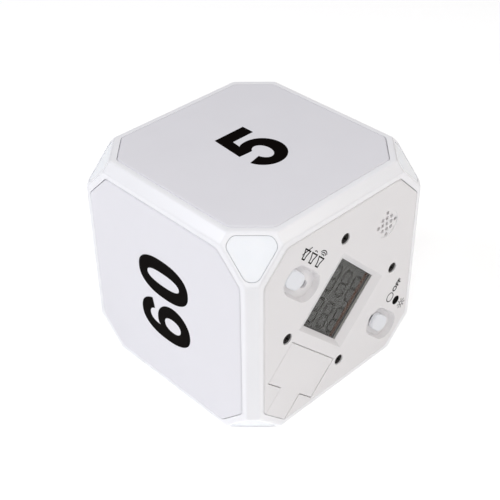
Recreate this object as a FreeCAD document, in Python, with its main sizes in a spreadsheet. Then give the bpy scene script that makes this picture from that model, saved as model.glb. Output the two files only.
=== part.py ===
import FreeCAD, Part
import math
import os
import re
import Sketcher
from FreeCAD import Placement, Rotation, Vector

# An electronic cube timer. It stands on any of its faces, and the number on top is the countdown that it
# starts. The origin is the middle of the bottom face, +Z is up, and the control face looks along -Y.

doc = FreeCAD.newDocument("cube_timer")

SIZES = [
    # The cube
    ("cube_size", 64.0, "across the faces, over the plates"),
    ("edge_leg", 2.8, "what a cut edge takes off each face"),
    ("corner_leg", 7.8, "what a cut corner takes off each cut edge, along the face"),
    ("edge_round", 0.9, "rounding of the moulded edges"),
    ("rim_wide", 1.15, "housing's rim beside a plate, along a cut edge"),
    ("rim_corner", 1.55, "the same rim at a cut corner"),
    ("wall", 1.6, "housing wall behind a plate"),
    ("edge_wall", 2.0, "housing wall behind a cut edge"),
    ("corner_wall", 2.4, "housing wall behind a cut corner"),
    # The plates let into the faces
    ("plate_thick", 1.2, "minute plate"),
    ("plate_proud", 0.2, "how far a plate stands over the housing"),
    ("plate_gap", 0.12, "gap round a plate"),
    ("plate_corner", 2.2, "corner radius of a plate"),
    ("plate_round", 0.45, "rounding of a plate's rim"),
    # The corner lenses, measured from the middle of the cut corner
    ("lens_to_plate", 4.4, "to the sides that face the plates"),
    ("lens_to_edge", 6.3, "to the sides that face the cut edges"),
    ("lens_gap", 0.05, "gap round a lens"),
    ("lens_sunk", 0.1, "how far a lens lies under the cut corner"),
    ("lens_flange", 1.0, "thickness of the flange inside"),
    ("lens_ear", 1.2, "how far the flange reaches past the lens"),
    ("lens_corner", 2.1, "corner radius of a lens"),
    ("lens_round", 0.15, "rounding of a lens's rim"),
    # The control cover
    ("cover_thick", 2.0, "control cover"),
    ("ledge_wide", 1.5, "ledge that the cover lies on"),
    ("ledge_thick", 2.0, "thickness of that ledge"),
    ("post_reach", 20.0, "cover screws, from the middle of the face"),
    ("post_round", 2.5, "radius of a screw post in the housing"),
    ("post_gap", 0.3, "air between a post and its sleeve"),
    ("sleeve_round", 2.75, "radius of a screw sleeve in the cover"),
    ("sleeve_deep", 7.0, "depth of a screw sleeve"),
    ("sleeve_floor", 5.5, "floor of a screw sleeve"),
    ("screw_hole", 1.55, "radius of a screw hole"),
    ("shank_round", 0.85, "radius of a cover screw's shank"),
    ("head_round", 1.4, "radius of a cover screw's head"),
    ("head_high", 1.2, "height of a cover screw's head"),
    ("cross_long", 1.7, "arm of a cover screw's cross recess, tip to tip"),
    ("cross_wide", 0.4, "width of that arm"),
    ("pilot_play", 0.05, "radius that a cover screw's pilot hole is wider than its shank"),
    ("pass_play", 0.1, "the same for its hole through the sleeve"),
    ("screw_long", 11.6, "length of a cover screw's shank"),
    ("rib_thick", 1.2, "rib that ties a post to the wall"),
    ("rib_top", 12.0, "depth at which a rib starts"),
    # Display
    ("view_wide", 17.5, "display window, across"),
    ("view_high", 19.4, "display window, up"),
    ("bevel_wide", 23.0, "mouth of the display's bevel, across"),
    ("bevel_high", 22.0, "mouth of the display's bevel, up"),
    ("bevel_deep", 1.2, "depth of the bevel"),
    ("window_lap", 1.0, "how far the window laps the cover on each side"),
    ("glass_wide", 19.0, "display cell, across"),
    ("glass_high", 20.0, "front glass, up"),
    ("glass_back_high", 22.0, "rear glass, up"),
    ("glass_thick", 1.2, "each of the two glasses"),
    ("glass_gap", 0.3, "air between the window and the display"),
    ("holder_wall", 1.0, "wall of the display holder"),
    ("holder_clear", 0.4, "play of the display in its holder, both sides together"),
    ("strip_wide", 1.8, "rubber contact strip"),
    # Board
    ("board_deep", 9.0, "depth of the board's front"),
    ("board_thick", 1.6, "main board"),
    ("board_long", 61.0, "main board, across"),
    ("board_clear", 0.55, "between the board and the battery holder"),
    ("notch_round", 3.2, "notch for a screw post"),
    ("boss_across", 20.0, "board bosses, across from the middle"),
    ("boss_up", 9.5, "board bosses, up from the middle"),
    ("boss_round", 2.0, "radius of a board boss"),
    ("tap_round", 0.65, "radius of a board screw's shank"),
    ("tap_head", 1.5, "radius of a board screw's head"),
    ("tap_head_high", 1.0, "height of a board screw's head"),
    ("tap_play", 0.15, "radius that a hole in the board is wider than its screw"),
    ("tap_long", 4.5, "how far a board screw enters its boss"),
    # Slide knobs
    ("dish_wide", 8.4, "dished recess, across"),
    ("dish_deep", 1.6, "depth of the dished recess"),
    ("dish_slope", 0.6, "run of the sloping side"),
    ("dish_clear", 0.15, "between the knob at its end stop and the slope"),
    ("dish_wall", 0.7, "material under the dish"),
    ("volume_at", -21.0, "middle of the volume knob's travel"),
    ("light_at", 24.7, "middle of the light knob's travel"),
    ("knobs_down", 0.5, "the knobs' line below the middle"),
    ("travel", 5.4, "travel of a knob, three stops"),
    ("knob_long", 7.4, "knob, along"),
    ("knob_wide", 4.8, "knob, across"),
    ("knob_low", 0.3, "how far the knob's top lies under the face"),
    ("knob_round", 0.5, "rounding of the knob's top"),
    ("knob_clear", 0.12, "running clearance of the knob"),
    ("neck_long", 2.8, "neck through the slot, along"),
    ("neck_wide", 1.8, "neck through the slot, across"),
    ("neck_clear", 0.2, "clearance of the neck in its slot"),
    ("flange_long", 9.4, "flange under the cover, along; it closes the slot"),
    ("flange_shift", 2.4, "how far the volume knob's flange is off its middle"),
    ("flange_wide", 5.0, "flange under the cover, across"),
    ("flange_thick", 1.0, "flange under the cover"),
    ("case_wide", 4.4, "switch case, across"),
    ("case_high", 3.8, "switch case, from the board"),
    ("case_wall", 0.35, "sheet of the switch case"),
    ("lever_long", 2.0, "switch lever, along"),
    ("lever_wide", 1.4, "switch lever, across"),
    ("shoe_long", 3.4, "shoe of the lever inside the case"),
    ("shoe_high", 1.8, "shoe of the lever"),
    ("shoe_clear", 0.15, "clearance of the shoe in the case"),
    ("socket_deep", 0.8, "depth of the lever's socket in the knob"),
    ("socket_clear", 0.1, "clearance of the lever in the knob"),
    # Grille and sounder
    ("grille_up", 22.95, "middle of the grille, up from the middle"),
    ("grille_pitch", 1.65, "pitch of the grille's holes"),
    ("grille_round", 0.6, "radius of a grille hole"),
    ("grille_dish", 4.0, "radius of the shallow dish round the grille"),
    ("grille_low", 0.15, "depth of that dish"),
    ("sounder_round", 7.5, "radius of the brass disc"),
    ("sounder_thick", 0.25, "brass disc"),
    ("ceramic_round", 5.0, "radius of the ceramic disc"),
    ("ceramic_thick", 0.2, "ceramic disc"),
    ("sounder_air", 1.4, "air between the cover and the disc"),
    ("ring_wall", 0.8, "wall round the disc"),
    ("ring_lap", 0.7, "ledge that the disc is bonded to"),
    ("ring_clear", 0.1, "clearance round the disc"),
    # Batteries and their door
    ("cell_round", 5.25, "radius of a cell"),
    ("cell_long", 44.5, "cell over its button"),
    ("button_round", 1.9, "radius of the cell's button"),
    ("button_high", 1.2, "height of the cell's button"),
    ("cell_gap", 0.3, "between the two cells"),
    ("cell_down", 20.4, "cells below the middle"),
    ("cell_clear", 0.6, "between the door's tabs and the cells"),
    ("tube_clear", 0.3, "clearance round a cell"),
    ("tube_wall", 0.9, "wall of the battery holder"),
    ("spring_room", 2.7, "room for the spring behind a cell"),
    ("floor_thick", 1.2, "end wall of the battery holder"),
    ("foot_thick", 1.8, "foot that holds the battery holder off the cover"),
    ("foot_wide", 6.0, "the same foot, up the cover"),
    ("foot_long", 4.0, "how far a foot runs along its tube"),
    ("foot_out", 1.4, "how far a foot stands out of its tube"),
    ("spring_round", 3.0, "mean radius of the spring"),
    ("spring_wire", 0.25, "radius of the spring's wire"),
    ("door_margin", 0.65, "how far the door reaches past the cells"),
    ("tongue_wide", 9.8, "tongue of the T, across"),
    ("door_thick", 1.6, "battery door"),
    ("door_gap", 0.15, "gap round the door"),
    ("door_round", 0.3, "rounding of the door's rim"),
    ("tab_wide", 4.0, "each of the two tabs under the cover"),
    ("tab_apart", 13.0, "between the tabs' middles"),
    ("tab_lap", 1.4, "how far a tab reaches past the door's top edge"),
    ("tab_thick", 0.7, "thickness of a tab"),
    ("stem_thick", 1.2, "stem between the door and a tab"),
    ("tab_clear", 0.1, "clearance between a tab and the cover"),
    ("strap_thick", 0.3, "bridge contact on the door"),
    ("strap_wide", 6.5, "bridge contact, up the door"),
    ("strap_lap", 3.0, "how far the bridge reaches past the cells' axes"),
    ("dome_radius", 1.8, "radius of the pressed domes that touch the cells"),
    # Parts on the rear of the board
    ("sensor_size", 6.2, "tilt sensor, square"),
    ("sensor_high", 4.2, "tilt sensor's case"),
    ("sensor_wall", 0.8, "wall of the tilt sensor"),
    ("lid_thick", 0.6, "lid of the tilt sensor"),
    ("ball_round", 1.2, "radius of the ball"),
    ("ball_clear", 0.05, "clearance of the ball"),
    ("lamp_long", 3.5, "LED, along"),
    ("lamp_wide", 2.8, "LED, across"),
    ("lamp_high", 1.9, "LED, height"),
    ("lamp_across", 26.0, "LEDs, across from the middle"),
    ("lamp_up", 5.0, "LEDs, up from the middle"),
    ("sensor_left", 6.0, "tilt sensor, left of the middle"),
    ("chip_right", 6.0, "potted chip, right of the middle"),
    ("chip_radius", 4.5, "radius of the potted chip"),
    ("chip_high", 1.4, "height of the potted chip"),
    ("chip_round", 1.1, "rounding of the potted chip"),
    ("crystal_radius", 1.0, "radius of the crystal's can"),
    ("crystal_long", 6.0, "length of the crystal's can"),
    ("crystal_up", 8.5, "crystal, above the middle"),
    ("lead_radius", 0.6, "radius of a lead over its sleeve"),
    ("lead_bend", 2.5, "radius of a lead's bends, at its axis"),
    ("lead_loop", 4.2, "how far a lead stands off what it leaves"),
]
ALIASES = {alias for alias, value, note in SIZES}

sheet = doc.addObject("Spreadsheet::Sheet", "sizes")
for row, (alias, value, note) in enumerate(SIZES, 1):
    sheet.set("A%d" % row, note)
    sheet.set("B%d" % row, str(value))
    sheet.setAlias("B%d" % row, alias)
doc.recompute()

pieces = []


# ---- Small tools of the drawing office ----

def linked(text):
    """The expression, with each alias read from the sheet."""
    return re.sub(r"[a-z_]+", lambda word: "sizes." + word[0] if word[0] in ALIASES else word[0], str(text))


def bind(thing, **sizes):
    for name, text in sizes.items():
        thing.setExpression(name, linked(text))
    return thing


def place(thing, x="0", y="0", z="0", turn=None):
    """Puts a thing where three expressions say, turned if asked."""
    if turn is not None:
        thing.Placement = Placement(Vector(), turn)
    for axis, text in zip("xyz", (x, y, z)):
        if text != "0":
            thing.setExpression("Placement.Base." + axis, linked(text))
    return thing


def block(name, length, width, low, high, x="0", y="0"):
    """A box centred on x, y that runs from low to high."""
    box = doc.addObject("Part::Box", name)
    bind(box, Length=length, Width=width, Height="(%s) - (%s)" % (high, low))
    return place(box, "(%s) - (%s) / 2" % (x, length), "(%s) - (%s) / 2" % (y, width), low)


def rod(name, radius, low, high, x="0", y="0"):
    """A cylinder along the local Z."""
    cylinder = doc.addObject("Part::Cylinder", name)
    bind(cylinder, Radius=radius, Height="(%s) - (%s)" % (high, low))
    return place(cylinder, x, y, low)


def group(kind, name, shapes):
    result = doc.addObject(kind, name)
    result.Shapes = shapes
    return result


def fuse(name, *shapes):
    """The shapes as one; a single shape is only wrapped, which gives it a second placement."""
    if len(shapes) == 1:
        return turned(name, shapes[0], Rotation())
    return group("Part::MultiFuse", name, list(shapes))


def common(name, *shapes):
    return group("Part::MultiCommon", name, list(shapes))


def cut(name, base, *tools):
    result = doc.addObject("Part::Cut", name)
    result.Base = base
    result.Tool = tools[0] if len(tools) == 1 else fuse(name + "_tools", *tools)
    return result


def turned(name, shape, turn):
    """The shape, turned about the origin."""
    result = doc.addObject("Part::Compound", name)
    result.Links = [shape]
    result.Placement = Placement(Vector(), turn)
    return result


def rounded(name, base, radius, picks):
    """The base with some edges rounded."""
    doc.recompute()
    result = doc.addObject("Part::Fillet", name)
    result.Base = base
    size = sheet.get(radius)
    result.Edges = [(i, size, size) for i, edge in enumerate(base.Shape.Edges, 1) if picks(edge)]
    return result


def keep(piece, label):
    """Registers a finished sub-part under its node's name."""
    piece.Label = label
    pieces.append(piece)
    return piece


def plane_sketch(body, name):
    sketch = body.newObject("Sketcher::SketchObject", name)
    plane = [item for item in body.Origin.OriginFeatures if item.Role == "XY_Plane"][0]
    sketch.AttachmentSupport = [(plane, "")]
    sketch.MapMode = "FlatFace"
    return sketch


def outline(body, name, points):
    """A closed polygon whose corners are pairs of expressions."""
    sketch = plane_sketch(body, name)
    count = len(points)
    doc.recompute()
    starts = [Vector(30 * math.cos(2 * math.pi * i / count), 30 * math.sin(2 * math.pi * i / count), 0)
              for i in range(count)]
    for i in range(count):
        sketch.addGeometry(Part.LineSegment(starts[i], starts[(i + 1) % count]), False)
    for i in range(count):
        sketch.addConstraint(Sketcher.Constraint("Coincident", i, 2, (i + 1) % count, 1))
    for i, (x, y) in enumerate(points):
        for kind, text, start in (("DistanceX", x, starts[i].x), ("DistanceY", y, starts[i].y)):
            number = sketch.addConstraint(Sketcher.Constraint(kind, -1, 1, i, 1, start))
            sketch.setExpression("Constraints[%d]" % number, linked(text))
    return sketch


def slot_outline(body, name, length, width):
    """A round-ended slot along X, centred on the origin."""
    sketch = plane_sketch(body, name)
    normal = Vector(0, 0, 1)
    right = Part.ArcOfCircle(Part.Circle(Vector(2, 0, 0), normal, 2), -math.pi / 2, math.pi / 2)
    left = Part.ArcOfCircle(Part.Circle(Vector(-2, 0, 0), normal, 2), math.pi / 2, 3 * math.pi / 2)
    sketch.addGeometry(right, False)
    sketch.addGeometry(Part.LineSegment(Vector(2, 2, 0), Vector(-2, 2, 0)), False)
    sketch.addGeometry(left, False)
    sketch.addGeometry(Part.LineSegment(Vector(-2, -2, 0), Vector(2, -2, 0)), False)
    for i in range(4):
        sketch.addConstraint(Sketcher.Constraint("Tangent", i, 2, (i + 1) % 4, 1))
    sketch.addConstraint(Sketcher.Constraint("Horizontal", 1))
    sketch.addConstraint(Sketcher.Constraint("Horizontal", 3))
    sketch.addConstraint(Sketcher.Constraint("Symmetric", 0, 3, 2, 3, -1, 1))
    radius = sketch.addConstraint(Sketcher.Constraint("Radius", 0, 2.0))
    apart = sketch.addConstraint(Sketcher.Constraint("DistanceX", 2, 3, 0, 3, 4.0))
    sketch.setExpression("Constraints[%d]" % radius, linked("(%s) / 2" % width))
    sketch.setExpression("Constraints[%d]" % apart, linked("(%s) - (%s)" % (length, width)))
    return sketch


def padded(name, draw, height, top="0", x="0", y="0"):
    """A body made by padding an outline down from its top."""
    body = doc.addObject("PartDesign::Body", name)
    sketch = draw(body, name + "_outline")
    pad = body.newObject("PartDesign::Pad", name + "_pad")
    pad.Profile = sketch
    pad.Reversed = True
    bind(pad, Length=height)
    doc.recompute()
    return place(body, x, y, top)


def round_body(body, radius, picks):
    """Rounds edges of a body's last feature."""
    doc.recompute()
    last = body.Tip
    names = ["Edge%d" % i for i, edge in enumerate(last.Shape.Edges, 1) if picks(edge)]
    fillet = body.newObject("PartDesign::Fillet", "round")
    fillet.Base = (last, names)
    bind(fillet, Radius=radius)
    doc.recompute()
    return body


def upright(edge):
    return abs(edge.tangentAt(edge.FirstParameter).z) > 0.9


def at_height(height):
    return lambda edge: all(abs(vertex.Z - height) < 1e-6 for vertex in edge.Vertexes)


def octagon_points(half, corner):
    """Corners of a square of that half width whose corners are cut at a distance from the middle."""
    short = "((%s) * sqrt(2) - (%s))" % (corner, half)
    points = []
    for x_sign, y_sign in ((1, 1), (-1, 1), (-1, -1), (1, -1)):
        first = ("%d * (%s)" % (x_sign, half), "%d * %s" % (y_sign, short))
        second = ("%d * %s" % (x_sign, short), "%d * (%s)" % (y_sign, half))
        points += [first, second] if x_sign * y_sign > 0 else [second, first]
    return points


def octagon(name, half, corner, height, top):
    return padded(name, lambda body, title: outline(body, title, octagon_points(half, corner)), height, top)


def slot(name, length, width, height, top, x="0", y="0"):
    return padded(name, lambda body, title: slot_outline(body, title, length, width), height, top, x, y)


def hexagon(name, to_plate, to_edge, height, top):
    """A hexagon whose sides lie at two distances by turns, the first one towards +X."""
    points = []
    for step in range(6):
        near, far = (to_plate, to_edge) if step % 2 == 0 else (to_edge, to_plate)
        along = "((%s) - (%s) / 2) / sin(60 deg)" % (far, near)
        angle = "%d deg" % (60 * step)
        points.append(("(%s) * cos(%s) - %s * sin(%s)" % (near, angle, along, angle),
                       "(%s) * sin(%s) + %s * cos(%s)" % (near, angle, along, angle)))
    return padded(name, lambda body, title: outline(body, title, points), height, top)


# ---- Frames ----
# The control face is drawn with u to its text's right, v up its text and w out of the face. Its text runs
# along the cube's diagonal, so u and v lie 45 degrees off X and Z.

HALF = "cube_size / 2"
DIAGONAL = math.sqrt(0.5)
CONTROL_TURN = Rotation(Vector(DIAGONAL, 0, -DIAGONAL), Vector(DIAGONAL, 0, DIAGONAL), Vector(0, -1, 0), "ZXY")


def on_control_face(piece, label):
    return keep(place(piece, "0", "-" + HALF, HALF, CONTROL_TURN), label)


def face_turn(across, up):
    return Rotation(Vector(*across), Vector(*up), Vector(*across).cross(Vector(*up)), "ZXY")


FACES = {
    "top": face_turn((1, 0, 0), (0, 1, 0)),
    "left": face_turn((0, 0, 1), (0, 1, 0)),
    "right": face_turn((0, 0, -1), (0, 1, 0)),
    "bottom": face_turn((-1, 0, 0), (0, 1, 0)),
    "rear": face_turn((-1, 0, 0), (0, 0, 1)),
}


def on_face(piece, side):
    """Moves a piece drawn on the XY plane to a face of the cube, its Z outwards."""
    out = FACES[side].multVec(Vector(0, 0, 1))
    lift = ["%d * %s" % (round(part), HALF) for part in out]
    return place(piece, lift[0], lift[1], lift[2] + " + " + HALF, FACES[side])


CORNERS = {}
for x_sign, x_name in ((-1, "left"), (1, "right")):
    for y_sign, y_name in ((-1, "front"), (1, "rear")):
        for z_sign, z_name in ((-1, "bottom"), (1, "top")):
            CORNERS["%s_%s_%s" % (z_name, y_name, x_name)] = (x_sign, y_sign, z_sign)


def on_corner(piece, signs):
    """Moves a piece drawn on the XY plane to a cut corner, its Z outwards and its X towards a plate."""
    out = Vector(*signs)
    side = Vector(2 * signs[0], -signs[1], -signs[2])
    turn = Rotation(side, out.cross(side), out, "ZXY")
    lift = ["%d * %s / 3" % (sign, CORNER_SUM) for sign in signs]
    return place(piece, lift[0], lift[1], lift[2] + " + " + HALF, turn)


# ---- Housing: one white moulding, open at the control face ----

SKIN = "(cube_size / 2 - plate_proud)"
EDGE_SUM = "(cube_size - edge_leg)"
CORNER_SUM = "(1.5 * cube_size - 2 * edge_leg - corner_leg)"
FLAT = "(cube_size / 2 - edge_leg - rim_wide)"
FLAT_CORNER = "((cube_size - 2 * edge_leg - corner_leg) / sqrt(2) - rim_corner)"
SHELF = "(cube_size / 2 - plate_thick)"
INSIDE = "(cube_size / 2 - plate_thick - wall)"
DEPTH = "(cube_size - plate_thick - wall)"


def faceted(name, flat, edge_sum, corner_sum, *more):
    """A cube with its edges and corners cut off, centred on the origin."""
    reach = "2 * " + HALF
    shapes = [block(name + "_cube", "2 * " + flat, "2 * " + flat, "-" + flat, flat)]
    side = "%s * sqrt(2)" % edge_sum
    for i, axis in enumerate((Vector(1, 0, 0), Vector(0, 1, 0), Vector(0, 0, 1))):
        bar = block("%s_bar_%d" % (name, i), side, side, "-" + HALF, HALF)
        quarter = Rotation(Vector(0, 0, 1), axis)
        shapes.append(turned("%s_edges_%d" % (name, i), bar, quarter * Rotation(Vector(0, 0, 1), 45)))
    thick = "%s / sqrt(3)" % corner_sum
    for i, signs in enumerate(((1, 1, 1), (1, 1, -1), (1, -1, 1), (-1, 1, 1))):
        slab = block("%s_slab_%d" % (name, i), "2 * " + reach, "2 * " + reach, "-" + thick, thick)
        shapes.append(turned("%s_corners_%d" % (name, i), slab, Rotation(Vector(0, 0, 1), Vector(*signs))))
    return common(name, *shapes, *more)


blank = faceted("blank", SKIN, EDGE_SUM, CORNER_SUM)
blank_round = rounded("blank_round", blank, "edge_round", lambda edge: True)
cavity_front = block("cavity_front", "2 * " + HALF, INSIDE + " + " + HALF + " - cover_thick - ledge_thick",
                     "-" + HALF, HALF, "0", "(" + INSIDE + " - " + HALF + " + cover_thick + ledge_thick) / 2")
cavity = faceted("cavity", INSIDE, "(%s - edge_wall * sqrt(2))" % EDGE_SUM,
                 "(%s - corner_wall * sqrt(3))" % CORNER_SUM, cavity_front)
shell = place(cut("shell", blank_round, cavity), z=HALF)

posts = []
pilots = []
for i in range(4):
    post = rod("post_rod_%d" % i, "post_round", "-%s - wall / 2" % DEPTH, "-sleeve_deep - post_gap", "post_reach")
    rib_long = "%s - post_reach + wall / 2" % INSIDE
    rib = block("rib_%d" % i, rib_long, "rib_thick", "-%s - wall / 2" % DEPTH, "-rib_top",
                "post_reach + (%s) / 2" % rib_long)
    corner = Rotation(Vector(0, 0, 1), 45 + 90 * i)
    posts.append(turned("post_%d" % i, fuse("post_and_rib_%d" % i, post, rib), corner))
    pilot = rod("pilot_rod_%d" % i, "shank_round + pilot_play", "sleeve_floor - sleeve_deep - screw_long - 1", "0",
                "post_reach")
    pilots.append(turned("pilot_%d" % i, pilot, corner))
posts_in_place = place(fuse("posts", *posts), "0", "-" + HALF, HALF, CONTROL_TURN)
pilots_in_place = place(fuse("pilots", *pilots), "0", "-" + HALF, HALF, CONTROL_TURN)

openings = []
for side in FACES:
    recess = octagon("recess_" + side, FLAT, FLAT_CORNER, "plate_thick + 1", "1")
    round_body(recess, "plate_corner + plate_gap", upright)
    openings.append(on_face(fuse("recess_in_" + side, recess), side))
mouth = octagon("mouth", FLAT, FLAT_CORNER, "cover_thick + 1", "1")
round_body(mouth, "plate_corner + plate_gap", upright)
throat = octagon("throat", FLAT + " - ledge_wide", FLAT_CORNER + " - ledge_wide",
                 "ledge_thick + 1", "-cover_thick")
front = fuse("front_opening", turned("mouth_turned", mouth, Rotation(Vector(0, 0, 1), 45)),
             turned("throat_turned", throat, Rotation(Vector(0, 0, 1), 45)))
openings.append(place(front, "0", "-" + HALF, HALF, CONTROL_TURN))
for name, signs in CORNERS.items():
    window = hexagon("window_" + name, "lens_to_plate + lens_gap", "lens_to_edge + lens_gap",
                     "corner_wall + 2", "1")
    round_body(window, "lens_corner + lens_gap", upright)
    seat = hexagon("seat_" + name, "lens_to_plate + lens_gap", "lens_to_edge + lens_ear + lens_gap",
                   "lens_flange + lens_gap", "-corner_wall")
    openings.append(on_corner(fuse("lens_opening_" + name, window, seat), signs))

keep(cut("housing", fuse("shell_with_posts", shell, posts_in_place), pilots_in_place, *openings), "housing")


# ---- Minute plates: white octagons let into five faces ----

PLATE_HALF = FLAT + " - plate_gap"
PLATE_CORNER = FLAT_CORNER + " - plate_gap"
PLATES = {"top": "minute_plate_5", "left": "minute_plate_60", "right": "minute_plate_15",
          "bottom": "minute_plate_30", "rear": "rear_plate"}

for side, label in PLATES.items():
    plate = octagon(label, PLATE_HALF, PLATE_CORNER, "plate_thick", "0")
    round_body(plate, "plate_corner", upright)
    round_body(plate, "plate_round", at_height(0))
    keep(on_face(plate, side), label)


# ---- Corner lenses: translucent hexagons that the flashing light shows through ----

for name, signs in CORNERS.items():
    plug = hexagon("plug_" + name, "lens_to_plate", "lens_to_edge", "corner_wall - lens_sunk", "-lens_sunk")
    round_body(plug, "lens_corner", upright)
    round_body(plug, "lens_round", at_height(0))
    ears = hexagon("ears_" + name, "lens_to_plate", "lens_to_edge + lens_ear", "lens_flange", "-corner_wall")
    keep(on_corner(fuse("lens_" + name, plug, ears), signs), "corner_lens_" + name)


# ---- Control cover: the front plate with its display, knobs, grille and battery opening ----

POST = "post_reach / sqrt(2)"
DISH_LONG = "(knob_long + travel + 2 * dish_slope + 2 * dish_clear)"
DISH_BACK = "(dish_deep + dish_wall)"
KNOB_LINE = "-knobs_down"
CELL_APART = "(2 * cell_round + cell_gap)"
CELL_START = "(cover_thick + tab_clear + tab_thick + cell_clear)"
TUBE = "(cell_round + tube_clear + tube_wall)"
DOOR_WIDE = "(%s + 2 * cell_round + 2 * door_margin)" % CELL_APART
DOOR_TOP = "(cell_down - cell_round - door_margin)"
DOOR_STEP = "(cell_down + cell_round + door_margin)"
SIGNS = ((1, 1), (-1, 1), (-1, -1), (1, -1))


def at_signs(point, signs):
    return ["%d * (%s)" % (sign, part) for sign, part in zip(signs, point)]


cover_plate = octagon("cover_plate", PLATE_HALF, PLATE_CORNER, "cover_thick", "0")
round_body(cover_plate, "plate_corner", upright)
round_body(cover_plate, "plate_round", at_height(0))
cover_solids = [turned("cover_turned", cover_plate, Rotation(Vector(0, 0, 1), 45))]
cover_cuts = []

for i, signs in enumerate(SIGNS):
    x, y = at_signs((POST, POST), signs)
    cover_solids.append(rod("sleeve_%d" % i, "sleeve_round", "-sleeve_deep", "-cover_thick / 2", x, y))
    cover_cuts.append(rod("screw_well_%d" % i, "screw_hole", "sleeve_floor - sleeve_deep", "1", x, y))
    cover_cuts.append(rod("screw_pass_%d" % i, "shank_round + pass_play", "-sleeve_deep - 1", "0", x, y))
    x, y = at_signs(("boss_across", "boss_up"), signs)
    cover_solids.append(rod("board_boss_%d" % i, "boss_round", "-board_deep", "-cover_thick / 2", x, y))
    cover_cuts.append(rod("board_pilot_%d" % i, "tap_round + pilot_play", "-board_deep - 1",
                          "tap_long - board_deep", x, y))

LEDGE_ROOM = " - ledge_wide - plate_gap"
for name, middle in (("volume", "volume_at"), ("light", "light_at")):
    back = slot(name + "_dish_back", DISH_LONG + " + 2 * dish_wall", "dish_wide + 2 * dish_wall",
                DISH_BACK + " - cover_thick / 2", "-cover_thick / 2", middle, KNOB_LINE)
    inside_ledge = octagon(name + "_dish_limit", FLAT + LEDGE_ROOM, FLAT_CORNER + LEDGE_ROOM, "dish_deep + dish_wall",
                           "0")
    cover_solids.append(common(name + "_dish_back_in", back,
                               turned(name + "_dish_limit_turned", inside_ledge, Rotation(Vector(0, 0, 1), 45))))
    basin = slot(name + "_basin", DISH_LONG, "dish_wide", "dish_deep", "0", middle, KNOB_LINE)
    doc.recompute()
    basin.Group[-1].TaperAngle = -math.degrees(math.atan2(sheet.get("dish_slope"), sheet.get("dish_deep")))
    cover_cuts.append(basin)
    cover_cuts.append(slot(name + "_slot", "neck_long + travel + 2 * neck_clear", "neck_wide + 2 * neck_clear",
                           "2 * dish_wall", "-dish_deep + dish_wall / 2", middle, KNOB_LINE))

cover_solids.append(rod("sounder_ring", "sounder_round + ring_clear + ring_wall", "-cover_thick - sounder_air - 1",
                        "-cover_thick / 2", "0", "grille_up"))
cover_cuts.append(rod("sounder_room", "sounder_round - ring_lap", "-cover_thick - sounder_air - 2", "-cover_thick",
                      "0", "grille_up"))
cover_cuts.append(rod("sounder_seat", "sounder_round + ring_clear", "-cover_thick - sounder_air - 2",
                      "-cover_thick - sounder_air", "0", "grille_up"))
cover_cuts.append(rod("grille_basin", "grille_dish", "-grille_low", "1", "0", "grille_up"))
for i in range(-2, 3):
    for j in range(abs(i) - 2, 3 - abs(i)):
        x = "%d * grille_pitch / sqrt(2)" % (i - j)
        y = "grille_up + %d * grille_pitch / sqrt(2)" % (i + j)
        cover_cuts.append(rod("grille_hole_%d_%d" % (i + 2, j + 2), "grille_round", "-cover_thick - 1", "1", x, y))

bevel = doc.addObject("Part::Wedge", "display_bevel")
bind(bevel, Ymin="-bevel_deep", Ymax="0", Xmin="-view_wide / 2", Xmax="view_wide / 2",
     Zmin="-view_high / 2", Zmax="view_high / 2", X2min="-bevel_wide / 2", X2max="bevel_wide / 2",
     Z2min="-bevel_high / 2", Z2max="bevel_high / 2")
bevel.Placement = Placement(Vector(), Rotation(Vector(1, 0, 0), 90))
cover_cuts.append(bevel)
cover_cuts.append(block("window_pocket", "view_wide + 2 * window_lap + 0.2", "view_high + 2 * window_lap + 0.2",
                        "-cover_thick - 1", "-bevel_deep"))
cover_cuts.append(block("door_opening", DOOR_WIDE + " + 2 * door_gap",
                        "%s - %s + 2 * door_gap" % (DOOR_STEP, DOOR_TOP), "-cover_thick - 1", "1", "0",
                        "-(%s + %s) / 2" % (DOOR_TOP, DOOR_STEP)))
cover_cuts.append(block("tongue_opening", "tongue_wide + 2 * door_gap", "2 * " + HALF, "-cover_thick - 1", "1",
                        "0", "-%s + 1 - %s" % (DOOR_STEP, HALF)))
on_control_face(cut("control_cover", fuse("cover_moulding", *cover_solids), *cover_cuts), "control_cover")


# ---- Display ----

GLASS_TOP = "(cover_thick + glass_gap)"
on_control_face(fuse("lcd_window", block("window_sheet", "view_wide + 2 * window_lap",
                                         "view_high + 2 * window_lap", "-cover_thick", "-bevel_deep")),
                "display_window")
front_glass = block("front_glass", "glass_wide", "glass_high", "-%s - glass_thick" % GLASS_TOP, "-" + GLASS_TOP)
rear_glass = block("rear_glass", "glass_wide", "glass_back_high", "-%s - 2 * glass_thick" % GLASS_TOP,
                   "-%s - glass_thick" % GLASS_TOP)
on_control_face(fuse("lcd", front_glass, rear_glass), "display_cell")
holder_out = block("display_holder_out", "glass_wide + 2 * holder_wall + holder_clear",
                   "glass_back_high + 2 * holder_wall + holder_clear", "-board_deep", "-cover_thick")
holder_in = block("display_holder_in", "glass_wide + holder_clear", "glass_back_high + holder_clear",
                  "-board_deep - 1", "-cover_thick + 1")
on_control_face(cut("holder", holder_out, holder_in), "display_holder")
for sign, label in ((1, "upper_contact_strip"), (-1, "lower_contact_strip")):
    strip = block(label + "_bar", "glass_wide - 2", "strip_wide", "-board_deep",
                  "-%s - 2 * glass_thick" % GLASS_TOP, "0", "%d * (glass_back_high / 2 - strip_wide / 2)" % sign)
    on_control_face(fuse(label, strip), label)


# ---- Main board, its screws and the parts soldered on it ----

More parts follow.
